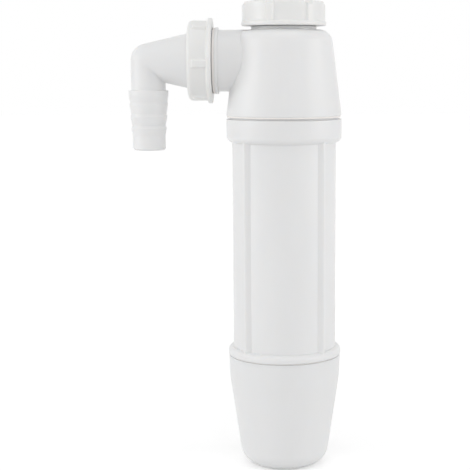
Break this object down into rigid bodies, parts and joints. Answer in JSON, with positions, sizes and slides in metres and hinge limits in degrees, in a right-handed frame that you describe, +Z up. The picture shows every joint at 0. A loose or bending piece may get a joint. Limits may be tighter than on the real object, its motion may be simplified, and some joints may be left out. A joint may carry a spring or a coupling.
{
  "type": "condensate trap",
  "caption": "Tall white bottle trap for condensate: screwed pipe inlet on top, ribbed body tube, screw-off sediment cup and a swivelling side elbow with a barbed hose tail on a union nut.",
  "frame": {"origin": "centre of the sediment cup's flat base", "axes": "+Z up the body's axis to the pipe inlet, -X towards the outlet nut and the hose elbow"},
  "size_m": [0.1375, 0.0744, 0.3047],
  "materials": {
    "white_moulding": "smooth moulded white polypropylene with a soft gloss",
    "nut_moulding": "moulded white polypropylene, a little more matt than the body",
    "slip_plastic": "plain natural plastic, slippery and matt",
    "cream_rubber": "matt cream seal rubber",
    "white_rubber": "matt off-white seal rubber",
    "dark_rubber": "matt dark seal rubber"
  },
  "bodies": {
    "head": {"trap_head": "white_moulding", "dip_tube": "white_moulding", "dip_washer": "dark_rubber", "outlet_backing_ring": "cream_rubber", "outlet_washer": "dark_rubber"},
    "inlet_ring": {"inlet_slip_ring": "slip_plastic", "inlet_seal": "white_rubber"},
    "inlet_nut": {"inlet_nut": "nut_moulding"},
    "collar_seal": {"head_seal": "cream_rubber"},
    "body": {"body_tube": "white_moulding"},
    "rim_seal": {"cup_seal": "cream_rubber"},
    "cup": {"sediment_cup": "white_moulding"},
    "outlet_ring": {"outlet_slip_ring": "slip_plastic"},
    "outlet_nut": {"outlet_nut": "nut_moulding"},
    "elbow": {"hose_elbow": "white_moulding"}
  },
  "joints": [
    {"name": "inlet_nut_travel", "type": "slide", "parent": "head", "child": "inlet_ring", "axis": [0, 0, 1], "range_m": [0, 0.00925]},
    {"name": "inlet_nut_turn", "type": "hinge", "parent": "inlet_ring", "child": "inlet_nut", "pos_m": [0, 0, 0.2952], "axis": [0, 0, 1], "range_deg": [0, 1440]},
    {"name": "body_travel", "type": "slide", "parent": "head", "child": "collar_seal", "axis": [0, 0, -1], "range_m": [0, 0.01101]},
    {"name": "body_turn", "type": "hinge", "parent": "collar_seal", "child": "body", "pos_m": [0, 0, 0.22], "axis": [0, 0, -1], "range_deg": [0, 990]},
    {"name": "cup_travel", "type": "slide", "parent": "body", "child": "rim_seal", "axis": [0, 0, -1], "range_m": [0, 0.01001]},
    {"name": "cup_turn", "type": "hinge", "parent": "rim_seal", "child": "cup", "pos_m": [0, 0, 0.065], "axis": [0, 0, -1], "range_deg": [0, 900]},
    {"name": "outlet_nut_travel", "type": "slide", "parent": "head", "child": "outlet_ring", "axis": [-1, 0, 0], "range_m": [0, 0.00809]},
    {"name": "outlet_nut_turn", "type": "hinge", "parent": "outlet_ring", "child": "outlet_nut", "pos_m": [-0.054, 0, 0.2657], "axis": [-1, 0, 0], "range_deg": [0, 1260]},
    {"name": "elbow_swivel", "type": "hinge", "parent": "head", "child": "elbow", "pos_m": [-0.0562, 0, 0.2657], "axis": [-1, 0, 0], "continuous": true}
  ],
  "couplings": [
    {"joint": "inlet_nut_travel", "follows": "inlet_nut_turn", "m_per_rad": 0.00036749},
    {"joint": "body_travel", "follows": "body_turn", "m_per_rad": 0.00063662},
    {"joint": "cup_travel", "follows": "cup_turn", "m_per_rad": 0.00063662},
    {"joint": "outlet_nut_travel", "follows": "outlet_nut_turn", "m_per_rad": 0.00036749}
  ]
}
